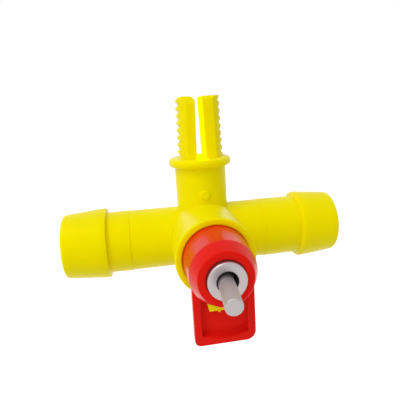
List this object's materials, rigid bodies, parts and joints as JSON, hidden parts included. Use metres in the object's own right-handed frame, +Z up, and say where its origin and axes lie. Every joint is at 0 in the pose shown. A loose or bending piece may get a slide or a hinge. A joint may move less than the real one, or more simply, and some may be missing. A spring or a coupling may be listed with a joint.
{
  "type": "poultry nipple drinker",
  "caption": "Hose tee with two barbed tails, a split threaded post that clamps on a cage wire, and a plug-in nipple valve with a swinging steel trigger pin",
  "frame": {"origin": "where the hose tails' axis meets the post's axis, on the waterway's centre line", "axes": "X along the hose tails, Z up along the clamping post, the nipple valve points along -Y"},
  "size_m": [0.046, 0.0332, 0.035],
  "materials": {
    "yellow_plastic": "moulded",
    "red_plastic": "moulded",
    "black_rubber": "moulded",
    "stainless_turned": "turned",
    "stainless_ball": "polished",
    "white_plastic": "moulded"
  },
  "bodies": {
    "housing": {"tee_body": "yellow_plastic", "nipple_body": "red_plastic", "body_o_ring": "black_rubber", "seat_sleeve": "stainless_turned", "inlet_strainer": "white_plastic"},
    "metering": {"metering_pin": "stainless_turned"},
    "ball": {"valve_ball": "stainless_ball"},
    "trigger": {"trigger_pin": "stainless_turned"}
  },
  "joints": [
    {"name": "pin_push", "type": "slide", "parent": "housing", "child": "metering", "axis": [0, 1, 0], "range_m": [0, 0.0004]},
    {"name": "pin_orbit", "type": "hinge", "parent": "metering", "child": "ball", "pos_m": [0, -0.0175, 0], "axis": [0, 1, 0], "continuous": true},
    {"name": "pin_tilt", "type": "hinge", "parent": "ball", "child": "trigger", "pos_m": [0, -0.0175, 0], "axis": [-0.7071, 0, 0.7071], "range_deg": [0, 7.2]}
  ]
}
